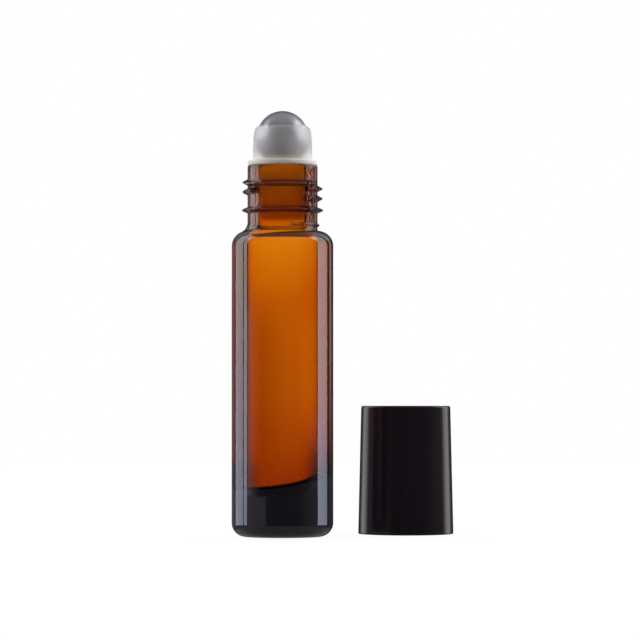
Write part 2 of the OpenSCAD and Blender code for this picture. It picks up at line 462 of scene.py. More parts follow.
class ThreadRoller:
    """Raises a helical ridge on a lathed wall with Geometry Nodes."""

    TREE = "helical_ridge"
    SIZES = (
        "Axis X", "Axis Y", "Wall Radius", "Depth", "Pitch", "Width", "Start Height", "Swing",
        "Level Height", "First Angle", "Lead In", "Last Angle", "Run Out", "Level From", "Gap From",
        "Gap To", "Ease",
    )
    # How far from the wall's radius a point may lie, and how many times the plain ease the
    # ridge takes to go level.
    WALL_BAND = 0.02 * MM
    LEVEL_EASE = 3.0

    def strand(
        self, board: NodeBoard, source: Any, share: Socket, height: Socket, turn: Socket,
    ) -> Socket:
        """Works out how much one turn of the ridge lifts each point.

        Args:
            board: The tree's board.
            source: The tree's inputs by name.
            share: The point's place round the axis, in turns.
            height: The point's height.
            turn: The turn's number.

        Returns:
            The lift as a share of the ridge's depth.
        """
        ease = source["Ease"]
        turns = board.math("ADD", share, turn)
        angle = board.math("MULTIPLY", turns, math.tau)
        climb = board.math("MULTIPLY_ADD", turns, source["Pitch"], source["Start Height"])
        swing = board.math("MULTIPLY", board.math("COSINE", angle), source["Swing"])
        level_to = board.math("MULTIPLY_ADD", ease, self.LEVEL_EASE, source["Level From"])
        level = board.ramp(angle, source["Level From"], level_to)
        centre = board.mix(level, board.math("ADD", climb, swing), source["Level Height"])
        offset = board.math("ABSOLUTE", board.math("SUBTRACT", height, centre))
        half = board.math("MULTIPLY", source["Width"], 0.5)
        reach = board.math("DIVIDE", offset, half, clamp=True)
        wave = board.math("COSINE", board.math("MULTIPLY", reach, math.pi))
        crest = board.math("MULTIPLY_ADD", wave, 0.5, 0.5)
        full_from = board.math("ADD", source["First Angle"], source["Lead In"])
        rise = board.ramp(angle, source["First Angle"], full_from)
        full_to = board.math("SUBTRACT", source["Last Angle"], source["Run Out"])
        fall = board.ramp(angle, full_to, source["Last Angle"], 1.0, 0.0)
        open_to = board.math("ADD", source["Gap From"], ease)
        opening = board.ramp(angle, source["Gap From"], open_to, 1.0, 0.0)
        close_from = board.math("SUBTRACT", source["Gap To"], ease)
        closing = board.ramp(angle, close_from, source["Gap To"])
        kept = board.math("MAXIMUM", opening, closing)
        return board.product(board.product(crest, kept), board.product(rise, fall))

    def tree(self) -> bpy.types.NodeTree:
        """Builds the geometry tree once.

        Returns:
            The tree, with a named input for every size and for the finish.
        """
        made = bpy.data.node_groups.get(self.TREE)
        if made:
            return made
        tree = bpy.data.node_groups.new(self.TREE, "GeometryNodeTree")
        tree.interface.new_socket("Geometry", in_out="INPUT", socket_type="NodeSocketGeometry")
        for name in self.SIZES:
            tree.interface.new_socket(name, in_out="INPUT", socket_type="NodeSocketFloat")
        tree.interface.new_socket("Finish", in_out="INPUT", socket_type="NodeSocketMaterial")
        tree.interface.new_socket("Geometry", in_out="OUTPUT", socket_type="NodeSocketGeometry")
        board = NodeBoard(tree)
        source = board.add("NodeGroupInput").outputs
        x, y, z = board.split(board.add("GeometryNodeInputPosition").outputs[0])
        across = board.math("SUBTRACT", x, source["Axis X"])
        along = board.math("SUBTRACT", y, source["Axis Y"])
        radius = board.distance(across, along)
        share = board.math("DIVIDE", board.math("ARCTAN2", along, across), math.tau)
        up = board.math("SUBTRACT", z, source["Start Height"])
        climb = board.math("DIVIDE", up, source["Pitch"])
        turn = board.math("FLOOR", board.math("SUBTRACT", climb, share))
        below = self.strand(board, source, share, z, turn)
        above = self.strand(board, source, share, z, board.math("ADD", turn, 1.0))
        lift = board.math("MULTIPLY", board.math("MAXIMUM", below, above), source["Depth"])
        outward = board.add("ShaderNodeCombineXYZ")
        for socket, part in zip(outward.inputs, (across, along)):
            board.feed(socket, board.math("MULTIPLY", board.math("DIVIDE", part, radius), lift))
        off = board.math("ABSOLUTE", board.math("SUBTRACT", radius, source["Wall Radius"]))
        on_wall = board.math("LESS_THAN", off, self.WALL_BAND)
        moved = board.add("GeometryNodeSetPosition")
        board.feed(moved.inputs["Geometry"], source["Geometry"])
        board.feed(moved.inputs["Selection"], on_wall)
        board.feed(moved.inputs["Offset"], outward.outputs[0])
        real = board.add("GeometryNodeRealizeInstances")
        board.feed(real.inputs[0], moved.outputs[0])
        dressed = board.add("GeometryNodeSetMaterial")
        board.feed(dressed.inputs["Geometry"], real.outputs[0])
        board.feed(dressed.inputs["Material"], source["Finish"])
        board.feed(board.add("NodeGroupOutput").inputs[0], dressed.outputs[0])
        return tree

    def roll(
        self, piece: bpy.types.Object, thread: Thread, centre: Point, finish: bpy.types.Material,
    ) -> None:
        """Raises one thread on a piece and leaves the result as its plain mesh.

        Args:
            piece: The lathed piece.
            thread: The thread's sizes.
            centre: Where the piece's axis stands, in millimetres.
            finish: The piece's material.
        """
        tree = self.tree()
        rolling = piece.modifiers.new(self.TREE, "NODES")
        rolling.node_group = tree
        lengths = (
            *centre, thread.wall_r, thread.depth, thread.pitch, thread.width, thread.start_z,
            thread.swing, thread.level_z,
        )
        angles = (
            thread.first, thread.lead_in, thread.last, thread.run_out, thread.level_from,
            thread.gap_from, thread.gap_to, thread.ease,
        )
        sizes = [length * MM for length in lengths] + [math.radians(angle) for angle in angles]
        inputs = [item for item in tree.interface.items_tree if item.in_out == "INPUT"]
        names = {item.name: item.identifier for item in inputs}
        for name, size in zip(self.SIZES, sizes):
            rolling[names[name]] = size
        rolling[names["Finish"]] = finish
        evaluated = piece.evaluated_get(bpy.context.evaluated_depsgraph_get())
        rolled = bpy.data.meshes.new_from_object(evaluated)
        piece.modifiers.remove(rolling)
        plain, piece.data = piece.data, rolled
        bpy.data.meshes.remove(plain)


@dataclass(frozen=True)
class PaintedLightPatch:
    """A soft-edged area of the glass that leans towards another colour: painted shade where it
    darkens, painted light where it lightens.
    """

    x: Limits
    z: Limits
    ease: float
    share: float
    tint: Colour


@dataclass(frozen=True)
class GlassPoint:
    """Where a point of the glass lies, as sockets in metres, and the mask of what is far out."""

    place: Socket
    x: Socket
    y: Socket
    z: Socket
    level: Socket
    radius: Socket
    outside: Socket


@dataclass(frozen=True)
class AmberGlass:
    """Thick moulded amber glass, tinted redder and darker towards its foot: the foot's near black
    is its thick glass, and the body's darkening towards the foot is painted shade.

    Heights, radii and eases are in millimetres, slopes and leans in degrees. The colour by
    height is on the whole surface. The patches of painted shade and light, the corner's line of
    painted shade, the flanks' painted shade and the crests' painted highlight lie further out
    than outer_r only, which takes in the cavity's wall and leaves out the bore.
    """

    slot: str = "amber_glass"
    ior: float = 1.5
    roughness: float = 0.0
    bore_roughness: float = 0.3
    bore_z: Limits = (60.6, 73.0)
    body_colour: Colour = (0.962, 0.742, 0.011)
    density: float = 930.0
    outer_r: float = 6.6
    band_ease: float = 0.4
    # The lines of equal colour rise to the right and curve up a little at both sides.
    top_z: float = 75.0
    slope: float = 7.8
    hollow: float = 0.0103
    # The foot is nearly opaque up to this height.
    foot_top: float = 9.95
    foot_fade: float = 0.2
    foot_clear: float = 0.15
    painted_light_patches: tuple[PaintedLightPatch, ...] = (
        # Painted shade: the middle of the body is darker on the left.
        PaintedLightPatch((3.0, -6.0), (8.0, 52.0), 14.0, 0.18, (0.2, 0.06, 0.3)),
        # Painted light: the middle of the body is lighter and yellower on the right.
        PaintedLightPatch((2.0, 6.5), (16.0, 48.0), 12.0, 0.30, (1.0, 1.0, 0.6)),
        # Painted shade: the body darkens above the foot at its right and left edges.
        PaintedLightPatch((4.4, 9.4), (0.0, 20.0), 9.0, 0.75, (0.032, 0.027, 0.038)),
        PaintedLightPatch((-5.0, -9.0), (0.0, 20.0), 9.0, 0.6, (0.032, 0.027, 0.038)),
    )
    # Painted shade: a dark line along the shoulder's inner corner.
    corner_z: Limits = (58.45, 59.75)
    corner_ease: float = 0.2
    corner_lean: float = 4.0
    corner_shade_tint: Colour = (0.012, 0.008, 0.01)
    # Painted shade on the thread's slanting sides, and a painted highlight on its crest.
    flank_z: Limits = (61.8, 72.4)
    flank_bend: Limits = (0.35, 0.65)
    flank_shade_tint: Colour = (0.10, 0.055, 0.07)
    crest_r: Limits = (7.4, 7.7)
    crest_highlight_tint: Colour = (1.0, 1.0, 0.9)
    # The rough strip that the mould's parting line leaves on the neck, by bearing in degrees.
    parting_mid: float = 53.0
    parting_half: float = 15.0
    parting_core: float = 0.7
    parting_z: Limits = (61.4, 72.7)
    parting_ease: float = 0.5
    parting_depth: float = 1.3
    parting_grain: float = 0.7
    ripple_size: float = 5.0
    ripple_depth: float = 0.014
    detail: float = 1.0
    # Heights and the tints there: the foot, the body with painted shade that darkens it downwards,
    # the shoulder from 58, the neck from 61.
    stops: tuple[tuple[float, Colour], ...] = (
        (0.0, (0.032, 0.027, 0.038)),
        (9.95, (0.032, 0.027, 0.038)),
        (10.15, (0.60, 0.35, 0.5)),
        (17.0, (0.71, 0.50, 0.5)),
        (27.0, (0.795, 0.63, 0.6)),
        (46.0, (0.86, 0.72, 0.7)),
        (58.0, (1.0, 1.0, 1.0)),
        (61.1, (0.83, 0.61, 0.25)),
        (62.7, (0.90, 0.54, 0.2)),
        (65.0, (1.0, 0.60, 0.4)),
        (69.0, (0.99, 0.74, 0.5)),
        (75.0, (0.95, 0.70, 0.4)),
    )

    def locate(self, board: NodeBoard) -> GlassPoint:
        """Works out where a point lies.

        Args:
            board: The material's board.

        Returns:
            The point's sockets. Its level is its height along the colour's sloping lines.
        """
        place = board.add("ShaderNodeTexCoord").outputs["Object"]
        x, y, z = board.split(place)
        level = board.math("MULTIPLY_ADD", x, -math.tan(math.radians(self.slope)), z)
        sag = board.math("MULTIPLY", board.math("MULTIPLY", x, x), -self.hollow / MM)
        level = board.math("ADD", level, sag)
        radius = board.distance(x, y)
        outside = board.math("GREATER_THAN", radius, self.outer_r * MM)
        return GlassPoint(place, x, y, z, level, radius, outside)

    def painted_corner_shade(self, board: NodeBoard, point: GlassPoint) -> Socket:
        """Masks the painted shade line along the shoulder's inner corner.

        Args:
            board: The material's board.
            point: Where the point lies.

        Returns:
            The mask's socket.
        """
        slope = -math.tan(math.radians(self.corner_lean))
        lean = board.math("MULTIPLY_ADD", point.x, slope, point.z)
        low, high = (edge * MM for edge in self.corner_z)
        ease = self.corner_ease * MM
        above = board.ramp(point.z, low, low + ease)
        below = board.ramp(lean, high - ease, high, 1.0, 0.0)
        return board.product(above, below, point.outside)

    def tint(self, board: NodeBoard, point: GlassPoint) -> Socket:
        """Lays the colour by height, the corner's painted shade line, the patches of painted shade
        and light, and the neck ridges' painted shade on flanks and painted highlight on crests.

        Args:
            board: The material's board.
            point: Where the point lies.

        Returns:
            The tint's socket.
        """
        share = board.math("DIVIDE", point.level, self.top_z * MM, clamp=True)
        tint = board.colours(share, [(z / self.top_z, colour) for z, colour in self.stops])
        # Painted shade along the shoulder's inner corner.
        tint = board.blend(self.painted_corner_shade(board, point), tint, self.corner_shade_tint)
        # Patches of painted shade and painted light.
        for patch in self.painted_light_patches:
            low, high = (x * MM for x in patch.x)
            spread = board.ramp(point.x, low, high, 0.0, patch.share)
            band = board.within(point.level, patch.z, patch.ease)
            tint = board.blend(board.product(spread, band, point.outside), tint, patch.tint)
        # Painted shade on the neck's ridge flanks and a painted highlight on their crests.
        neck = board.within(point.z, self.flank_z, self.band_ease)
        upward = board.split(board.add("ShaderNodeNewGeometry").outputs["Normal"])[2]
        slant = board.ramp(board.math("ABSOLUTE", upward), *self.flank_bend)
        flank = board.product(slant, neck, point.outside)
        high = board.ramp(point.radius, *(r * MM for r in self.crest_r))
        crest = board.product(high, board.math("SUBTRACT", 1.0, flank), neck)
        tint = board.blend(crest, tint, self.crest_highlight_tint)
        return board.blend(flank, tint, self.flank_shade_tint)

    def relief(self, board: NodeBoard, point: GlassPoint) -> Socket:
        """Raises the parting strip and the faint ripple of moulded glass.

        Args:
            board: The material's board.
            point: Where the point lies.

        Returns:
            The bent normal's socket.
        """
        bearing = board.math("ARCTAN2", point.x, board.math("MULTIPLY", point.y, -1.0))
        off = board.math("SUBTRACT", bearing, math.radians(self.parting_mid))
        core, edge = (math.radians(self.parting_half * share) for share in (self.parting_core, 1.0))
        across = board.ramp(board.math("ABSOLUTE", off), core, edge, 1.0, 0.0)
        along = board.within(point.z, self.parting_z, self.parting_ease)
        strip = board.product(across, along, point.outside)
        grain = board.noise(point.place, self.parting_grain, self.detail)
        ripple = board.noise(point.place, self.ripple_size, self.detail)
        rough = board.math("MULTIPLY", grain, self.parting_depth)
        faint = board.math("MULTIPLY", ripple, self.ripple_depth)
        return board.bump(board.math("MULTIPLY_ADD", rough, strip, faint), 1.0, 1.0)

    def make(self) -> bpy.types.Material:
        """Builds the material.

        Returns:
            The glass material.
        """
        finish = blank_material(self.slot)
        board = NodeBoard(finish.node_tree)
        point = self.locate(board)
        inside = board.math("SUBTRACT", 1.0, point.outside)
        bore = board.math("MULTIPLY", inside, board.within(point.z, self.bore_z, self.band_ease))
        clear_from = (self.foot_top - self.foot_fade) * MM
        clear = board.ramp(point.level, clear_from, self.foot_top * MM, self.foot_clear, 1.0)
        glass = board.add("ShaderNodeBsdfPrincipled")
        board.feed(glass.inputs["Base Color"], self.tint(board, point))
        board.feed(glass.inputs["Normal"], self.relief(board, point))
        board.feed(glass.inputs["Roughness"], board.mix(bore, self.roughness, self.bore_roughness))
        board.feed(glass.inputs["IOR"], self.ior)
        board.feed(glass.inputs["Transmission Weight"], clear)
        body = board.add("ShaderNodeVolumeAbsorption")
        body.inputs["Color"].default_value = (*self.body_colour, 1.0)
        body.inputs["Density"].default_value = self.density
        out = board.add("ShaderNodeOutputMaterial")
        board.feed(out.inputs["Surface"], glass.outputs[0])
        board.feed(out.inputs["Volume"], body.outputs[0])
        return finish


@dataclass(frozen=True)
class MouldedPlastic:
    """A moulded plastic with a fine skin texture.

    A band of heights may be thick, with a colour of its own and less light through it.
    """

    slot: str
    colour: Colour
    roughness: float
    rough_swing: float = 0.1
    ior: float = 1.5
    transmission: float = 0.0
    thick_transmission: float = 0.0
    thick_colour: Colour = (0.90, 0.84, 0.79)
    thick_z: Limits = (0.0, 0.0)
    thick_ease: float = 1.3
    subsurface: float = 0.0
    scatter: float = 1.5
    scatter_reach: Colour = (1.0, 0.9, 0.85)
    grain_size: float = 0.4
    grain_depth: float = 0.02
    grain_detail: float = 3.0
    grain_strength: float = 0.3
    shade: float = 0.06
    shade_limits: Limits = (0.3, 0.7)
    rough_limits: Limits = (0.2, 0.8)

    def make(self) -> bpy.types.Material:
        """Builds the material.

        Returns:
            The plastic material.
        """
        finish = blank_material(self.slot)
        board = NodeBoard(finish.node_tree)
        place = board.add("ShaderNodeTexCoord").outputs["Object"]
        grain = board.noise(place, self.grain_size, self.grain_detail)
        dark = tuple(c * (1.0 - self.shade) for c in self.colour)
        tint = board.colours(grain, list(zip(self.shade_limits, (dark, self.colour))))
        clear: Value = self.transmission
        if self.thick_z[1] > self.thick_z[0]:
            thick = board.within(board.split(place)[2], self.thick_z, self.thick_ease)
            tint = board.blend(thick, tint, self.thick_colour)
            clear = board.mix(thick, self.transmission, self.thick_transmission)
        swing = [self.roughness * (1.0 + sign * self.rough_swing) for sign in (-1, 1)]
        plastic = board.add("ShaderNodeBsdfPrincipled")
        board.feed(plastic.inputs["Base Color"], tint)
        board.feed(plastic.inputs["Roughness"], board.ramp(grain, *self.rough_limits, *swing))
        board.feed(plastic.inputs["IOR"], self.ior)
        board.feed(plastic.inputs["Transmission Weight"], clear)
        board.feed(plastic.inputs["Subsurface Weight"], self.subsurface)
        plastic.inputs["Subsurface Radius"].default_value = self.scatter_reach
        plastic.inputs["Subsurface Scale"].default_value = self.scatter * MM
        skin = board.bump(grain, self.grain_depth, self.grain_strength)
        board.feed(plastic.inputs["Normal"], skin)
        out = board.add("ShaderNodeOutputMaterial")
        board.feed(out.inputs["Surface"], plastic.outputs[0])
        return finish


@dataclass(frozen=True)
class PolishedSteel:
    """Polished stainless steel of a ball, with fine lapping marks."""

    slot: str = "polished_steel"
    colour: Colour = (0.58, 0.575, 0.63)
    rim: Colour = (0.3, 0.3, 0.32)
    roughness: float = 0.34
    rough_swing: float = 0.2
    rough_limits: Limits = (0.3, 0.7)
    mark_size: float = 0.8
    mark_depth: float = 0.004
    mark_detail: float = 4.0
    mark_strength: float = 0.2

    def make(self) -> bpy.types.Material:
        """Builds the material.

        Returns:
            The steel material.
        """
        finish = blank_material(self.slot)
        board = NodeBoard(finish.node_tree)
        place = board.add("ShaderNodeTexCoord").outputs["Object"]
        marks = board.noise(place, self.mark_size, self.mark_detail)
        swing = [self.roughness * (1.0 + sign * self.rough_swing) for sign in (-1, 1)]
        steel = board.add("ShaderNodeBsdfPrincipled")
        steel.inputs["Base Color"].default_value = (*self.colour, 1.0)
        steel.inputs["Specular Tint"].default_value = (*self.rim, 1.0)
        board.feed(steel.inputs["Metallic"], 1.0)
        board.feed(steel.inputs["Roughness"], board.ramp(marks, *self.rough_limits, *swing))
        lapped = board.bump(marks, self.mark_depth, self.mark_strength)
        board.feed(steel.inputs["Normal"], lapped)
        out = board.add("ShaderNodeOutputMaterial")
        board.feed(out.inputs["Surface"], steel.outputs[0])
        return finish


@dataclass(frozen=True)
class GlassSteps:
    """How many steps the lathe takes along each part of the glass's outline."""

    punt: int = 8
    foot: int = 20
    body: int = 34
    shoulder: int = 24
    fillet: int = 8
    bead: int = 32
    rim: int = 8
    bore: int = 10
    throat: int = 4
    roof: int = 20
    cavity: int = 36
    floor_edge: int = 20
    floor: int = 8


@dataclass
class GlassBottle:
    """The moulded glass: solid foot, thick body, shoulder, and neck with its bead and thread.

    Sizes are in millimetres and angles in degrees.
    """

    node: str = "glass_bottle"
    body: str = "bottle"
    shoulder_z: float = 60.1
    shoulder_r: float = 2.95
    foot_r: float = 2.75
    wall: float = 3.15
    floor_z: float = 8.1
    floor_tilt: float = 4.0
    floor_r: float = 1.2
    roof_drop: float = 0.4
    roof_r: float = 2.2
    punt_h: float = 0.55
    foot_ring: float = 1.2
    neck_r: float = 6.9
    bore_r: float = 4.7
    bead_up: float = 4.1
    bead_r: float = 8.0
    bead_w: float = 1.3
    neck_fillet: float = 0.25
    flare: float = 0.8
    flare_h: float = 1.8
    rim_r: float = 0.35
    mouth_chamfer: float = 0.3
    thread: Thread = Thread(
        wall_r=6.9, depth=1.0, pitch=1.94, width=1.5, start_z=66.67, swing=-0.18, first=-65.0,
        lead_in=45.0, last=715.0, run_out=35.0, level_z=69.25, level_from=530.0, gap_from=215.0,
        gap_to=318.0,
    )
    # The low ridge that the mould's neck ring leaves on one side of the neck's base.
    seam: Thread = Thread(
        wall_r=6.9, depth=0.4, pitch=2.0, width=0.9, start_z=61.25, first=-88.0, lead_in=35.0,
        last=60.0, run_out=30.0, level_z=61.25, level_from=-NEVER,
    )
    wall_step: float = 0.09
    steps: GlassSteps = GlassSteps()
    # How far over the floor its slope fades out, in rounding radii, and how near to the wall
    # and floor a point still counts as theirs.
    tilt_fade: float = 3.0
    tilt_slack: Limits = (1.001, 0.99)
    flare_slack: float = 0.01

    def outline(self) -> Outline:
        """Draws the glass from under the foot, up the outside, over the rim and down the inside.

        Returns:
            The outline, from axis to axis.
        """
        low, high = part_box(self.node)
        body_r, rim_z = (high[0] - low[0]) / 2 / MM, high[2] / MM
        steps = self.steps
        line = Outline()
        self.draw_body(line, body_r)
        bead_z = self.shoulder_z + self.bead_up
        fillet = (self.neck_r + self.neck_fillet, self.shoulder_z + self.neck_fillet)
        line.arc(fillet, self.neck_fillet, -90.0, -180.0, steps.fillet)
        rows = int((bead_z - self.shoulder_z) / self.wall_step)
        line.to(self.neck_r, bead_z - self.bead_w / 2, rows)
        line.ridge(self.neck_r, self.bead_r, bead_z, self.bead_w, steps.bead)
        line.to(self.neck_r, rim_z - self.rim_r, int((rim_z - bead_z) / self.wall_step))
        line.arc((self.neck_r - self.rim_r, rim_z - self.rim_r), self.rim_r, 0.0, 90.0, steps.rim)
        line.to(self.bore_r + self.mouth_chamfer, rim_z)
        line.to(self.bore_r, rim_z - self.mouth_chamfer)
        self.draw_cavity(line, body_r - self.wall)
        return line

    def draw_body(self, line: Outline, body_r: float) -> None:
        """Draws the hollow under the foot, the foot, the body and the shoulder.

        Args:
            line: The outline that grows.
            body_r: Radius of the body.
        """
        steps = self.steps
        foot_x = body_r - self.foot_r
        ring_x = foot_x - self.foot_ring
        punt_r = (ring_x ** 2 + self.punt_h ** 2) / (2 * self.punt_h)
        punt_a = math.degrees(math.asin(ring_x / punt_r))
        line.arc((0.0, self.punt_h - punt_r), punt_r, 90.0, 90.0 - punt_a, steps.punt)
        line.arc((foot_x, self.foot_r), self.foot_r, -90.0, 0.0, steps.foot)
        line.to(body_r, self.shoulder_z - self.shoulder_r, steps.body)
        shoulder = (body_r - self.shoulder_r, self.shoulder_z - self.shoulder_r)
        line.arc(shoulder, self.shoulder_r, 0.0, 90.0, steps.shoulder)

    def draw_cavity(self, line: Outline, cavity_r: float) -> None:
        """Draws the bore, the cavity's roof and wall, and its floor.

        Args:
            line: The outline that grows.
            cavity_r: Radius of the cavity.
        """
        steps = self.steps
        roof_z = self.shoulder_z - self.roof_drop
        throat_r = cavity_r - self.roof_r - self.bore_r
        line.to(self.bore_r, roof_z + throat_r, steps.bore)
        throat = (self.bore_r + throat_r, roof_z + throat_r)
        line.arc(throat, throat_r, -180.0, -90.0, steps.throat)
        roof = (cavity_r - self.roof_r, roof_z - self.roof_r)
        line.arc(roof, self.roof_r, 90.0, 0.0, steps.roof)
        line.to(cavity_r, self.floor_z + self.floor_r, steps.cavity)
        edge = (cavity_r - self.floor_r, self.floor_z + self.floor_r)
        line.arc(edge, self.floor_r, 0.0, -90.0, steps.floor_edge)
        line.to(0.0, self.floor_z, steps.floor)

    def tilt_floor(self, piece: bpy.types.Object) -> None:
        """Slopes the cavity's floor, which the mould leaves higher on one side.

        Args:
            piece: The lathed glass.
        """
        low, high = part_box(self.node)
        inner_r = (high[0] - low[0]) / 2 - self.wall * MM
        slope = math.tan(math.radians(self.floor_tilt))
        floor_z, floor_r = self.floor_z * MM, self.floor_r * MM
        fade = self.tilt_fade * floor_r
        near_wall, near_floor = self.tilt_slack
        for vertex in piece.data.vertices:
            x, y, z = vertex.co
            inside = math.hypot(x, y) <= inner_r * near_wall and z > floor_z * near_floor
            above = z - floor_z
            if inside and above < fade + floor_r:
                share = min(1.0, max(0.0, (fade + floor_r - above) / fade))
                vertex.co.z = z + x * slope * share

    def flare_base(self, piece: bpy.types.Object) -> None:
        """Widens the neck's base on the left, where the glass runs out into the shoulder.

        Args:
            piece: The lathed glass.
        """
        slack = self.flare_slack
        outer_r = self.neck_r + self.neck_fillet
        for vertex in piece.data.vertices:
            x, y, z = vertex.co / MM
            r, up = math.hypot(x, y), z - self.shoulder_z
            on_base = self.neck_r - slack < r < outer_r + slack and -slack < up < self.flare_h
            if on_base and x < 0:
                grow = 1 + self.flare * (1 - up / self.flare_h) ** 2 * (x / r) ** 4 / r
                vertex.co.x *= grow
                vertex.co.y *= grow

    def build(self) -> bpy.types.Object:
        """Makes and dresses the glass.

        Returns:
            The glass object.
        """
        finish = AmberGlass().make()
        piece = self.outline().lathe("amber_bottle")
        self.tilt_floor(piece)
        for ridge in (self.seam, self.thread):
            ThreadRoller().roll(piece, ridge, (0.0, 0.0), finish)
        self.flare_base(piece)
        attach(piece, self.body)
        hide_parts(self.node)
        return piece


@dataclass
class BallHousing:
    """The snap-in housing and its ball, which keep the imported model's meshes."""

    housing: str = "roller_housing"
    ball: str = "roller_ball"
    plastic: MouldedPlastic = MouldedPlastic(
        "natural_plastic", (0.96, 0.945, 0.95), 0.55, ior=1.22, transmission=0.8,
        thick_transmission=0.2, thick_z=(60.0, 75.2), subsurface=1.0,
    )
    steel: PolishedSteel = PolishedSteel()

    def build(self) -> list[bpy.types.Object]:
        """Dresses the housing and the ball.

        Returns:
            The two dressed objects.
        """
        finishes = {self.housing: self.plastic.make(), self.ball: self.steel.make()}
        pieces = []
        for node, finish in finishes.items():
            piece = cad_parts[node]
            for slot in piece.material_slots:
                slot.material = finish
            pieces.append(piece)
        return pieces


@dataclass(frozen=True)
class CapSteps:
    """How many steps the lathe takes along each part of the cap's outline."""

    ceiling: int = 6
    bore: int = 10
    ledge: int = 4
    lead: int = 3
    rim_face: int = 2
    rim: int = 6
    side: int = 30
    edge: int = 10
    top: int = 6


@dataclass
class ScrewCap:
    """The tapered screw cap, with the thread in its bore, and its sealing liner.

    Sizes are in millimetres and angles in degrees.
    """

    node: str = "cap"
    liner: str = "cap_liner"
    body: str = "cap"
    top_r: float = 8.95
    edge_r: float = 0.4
    top_t: float = 1.3
    thread_r: float = 8.2
    thread_l: float = 11.9
    bore_r: float = 7.3
    rim: float = 0.2
    lead: float = 0.45
    thread: Thread = Thread(
        wall_r=8.2, depth=-0.75, pitch=2.0, width=1.2, start_z=2.6, first=-30.0, lead_in=40.0,
        last=1000.0, run_out=60.0,
    )
    wall_step: float = 0.12
    steps: CapSteps = CapSteps()
    crisp: float = 35.0
    plastic: MouldedPlastic = MouldedPlastic(
        "black_plastic", (0.038, 0.025, 0.040), 0.22, shade=0.2,
    )
    soft: MouldedPlastic = MouldedPlastic("liner_plastic", (0.80, 0.79, 0.75), 0.5, subsurface=0.2)

    def outline(self) -> Outline:
        """Draws the cap from its ceiling down the bore, round the rim and up the outside.

        Returns:
            The outline, from axis to axis.
        """
        low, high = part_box(self.node)
        low_r, height = (high[0] - low[0]) / 2 / MM, high[2] / MM
        steps = self.steps
        ceiling_z = height - self.top_t
        taper = math.atan((low_r - self.top_r) / height)
        edge_x = self.top_r - self.edge_r * (1 - math.tan(taper))
        edge_z = height - self.edge_r
        ledge = self.thread_r - self.bore_r
        rows = int((self.thread_l - ledge - self.lead) / self.wall_step)
        line = Outline([(0.0, ceiling_z)])
        line.to(self.bore_r, ceiling_z, steps.ceiling)
        line.to(self.bore_r, self.thread_l, steps.bore)
        line.to(self.thread_r, self.thread_l - ledge, steps.ledge)
        line.to(self.thread_r, self.lead, rows)
        line.to(self.thread_r + self.lead, 0.0, steps.lead)
        line.to(low_r - self.rim, 0.0, steps.rim_face)
        turn = math.degrees(taper)
        line.arc((low_r - self.rim, self.rim), self.rim, -90.0, turn, steps.rim)
        line.to(edge_x + self.edge_r * math.cos(taper), edge_z, steps.side)
        line.arc((edge_x, edge_z), self.edge_r, turn, 90.0, steps.edge)
        line.to(0.0, height, steps.top)
        return line

    def build(self) -> list[bpy.types.Object]:
        """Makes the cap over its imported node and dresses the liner.

        The photograph's glass shows no clear image of a cap, so mirrored and bent rays miss both.

        Returns:
            The cap and the liner.
        """
        low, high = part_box(self.node)
        centre = ((low[0] + high[0]) / 2 / MM, (low[1] + high[1]) / 2 / MM)
        piece = self.outline().lathe("screw_cap", centre)
        ThreadRoller().roll(piece, self.thread, centre, self.plastic.make())
        sharpen(piece, self.crisp)
        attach(piece, self.body)
        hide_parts(self.node)
        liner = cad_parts[self.liner]
        lining = self.soft.make()
        for slot in liner.material_slots:
            slot.material = lining
        for shown in (piece, liner):
            shown.visible_glossy = False
            shown.visible_transmission = False
        return [piece, liner]


def sharpen(piece: bpy.types.Object, angle: float) -> None:
    """Marks the edges of a piece that bend more than an angle as crisp.

    Args:
        piece: The piece.
        angle: The least bend of a crisp edge, in degrees.
    """
    form = bmesh.new()
    form.from_mesh(piece.data)
    limit = math.radians(angle)
    for edge in form.edges:
        edge.smooth = len(edge.link_faces) == 2 and edge.calc_face_angle() < limit
    form.to_mesh(piece.data)
    form.free()


@dataclass(frozen=True)
class SoftBox:
    """One tall soft box, placed by its two edges' bearings from straight behind the bottle.

    Its back edge and its foot may be dimmer, and it may be seen through the ball's housing. A
    cool one is bluer at its foot.
    """

    name: str
    side: Side
    back: float
    front: float
    radiance: float
    back_share: float
    lights: tuple[str, ...]
    low_share: float = 1.0
    through: bool = False
    cool: bool = True


